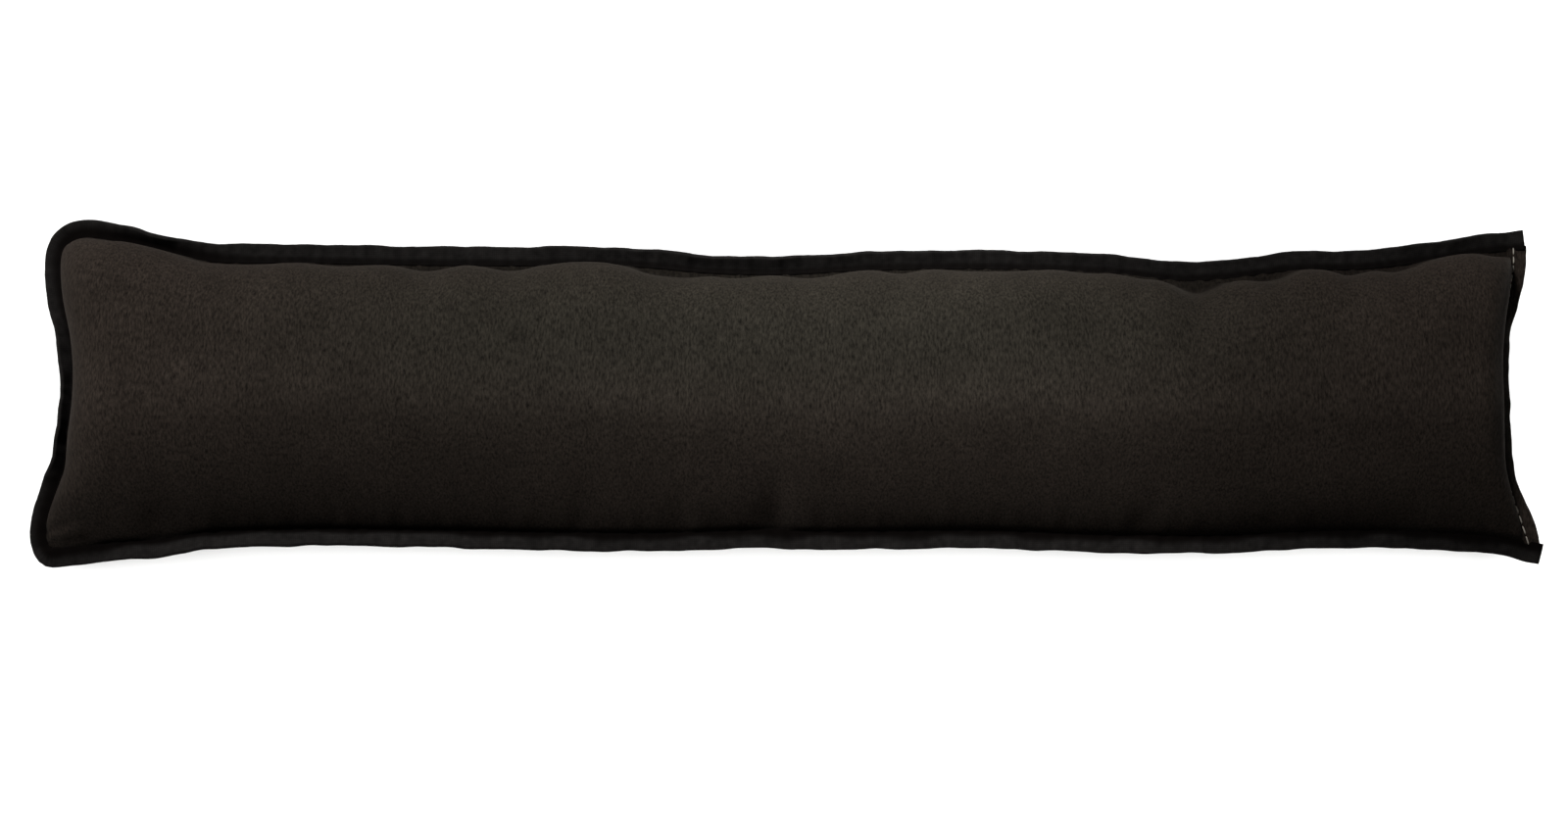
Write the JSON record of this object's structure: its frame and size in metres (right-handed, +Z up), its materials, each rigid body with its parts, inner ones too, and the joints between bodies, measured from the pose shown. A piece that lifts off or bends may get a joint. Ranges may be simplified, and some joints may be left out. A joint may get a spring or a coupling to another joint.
{
  "type": "draught excluder",
  "caption": "Long filled cloth tube that lies along the foot of a door to stop a draught, with a flat welt on three sides and a stitched closing end.",
  "frame": {"origin": "on the surface it lies on, under the middle of the whole cushion", "axes": "+X along the tube from the rounded end to the stitched end, +Y to the back edge, +Z up"},
  "size_m": [0.9004, 0.211, 0.0838],
  "materials": {
    "face_cloth": "brushed wool-look felt cloth, dark taupe, matt with a soft nap",
    "welt_cloth": "plain woven strip, near-black, folded double",
    "closing_cloth": "the face cloth turned in, dark taupe, with off-white thread"
  },
  "bodies": {
    "root": {"filled_body": "face_cloth", "edge_welt": "welt_cloth", "closing_edge": "closing_cloth"}
  },
  "joints": []
}
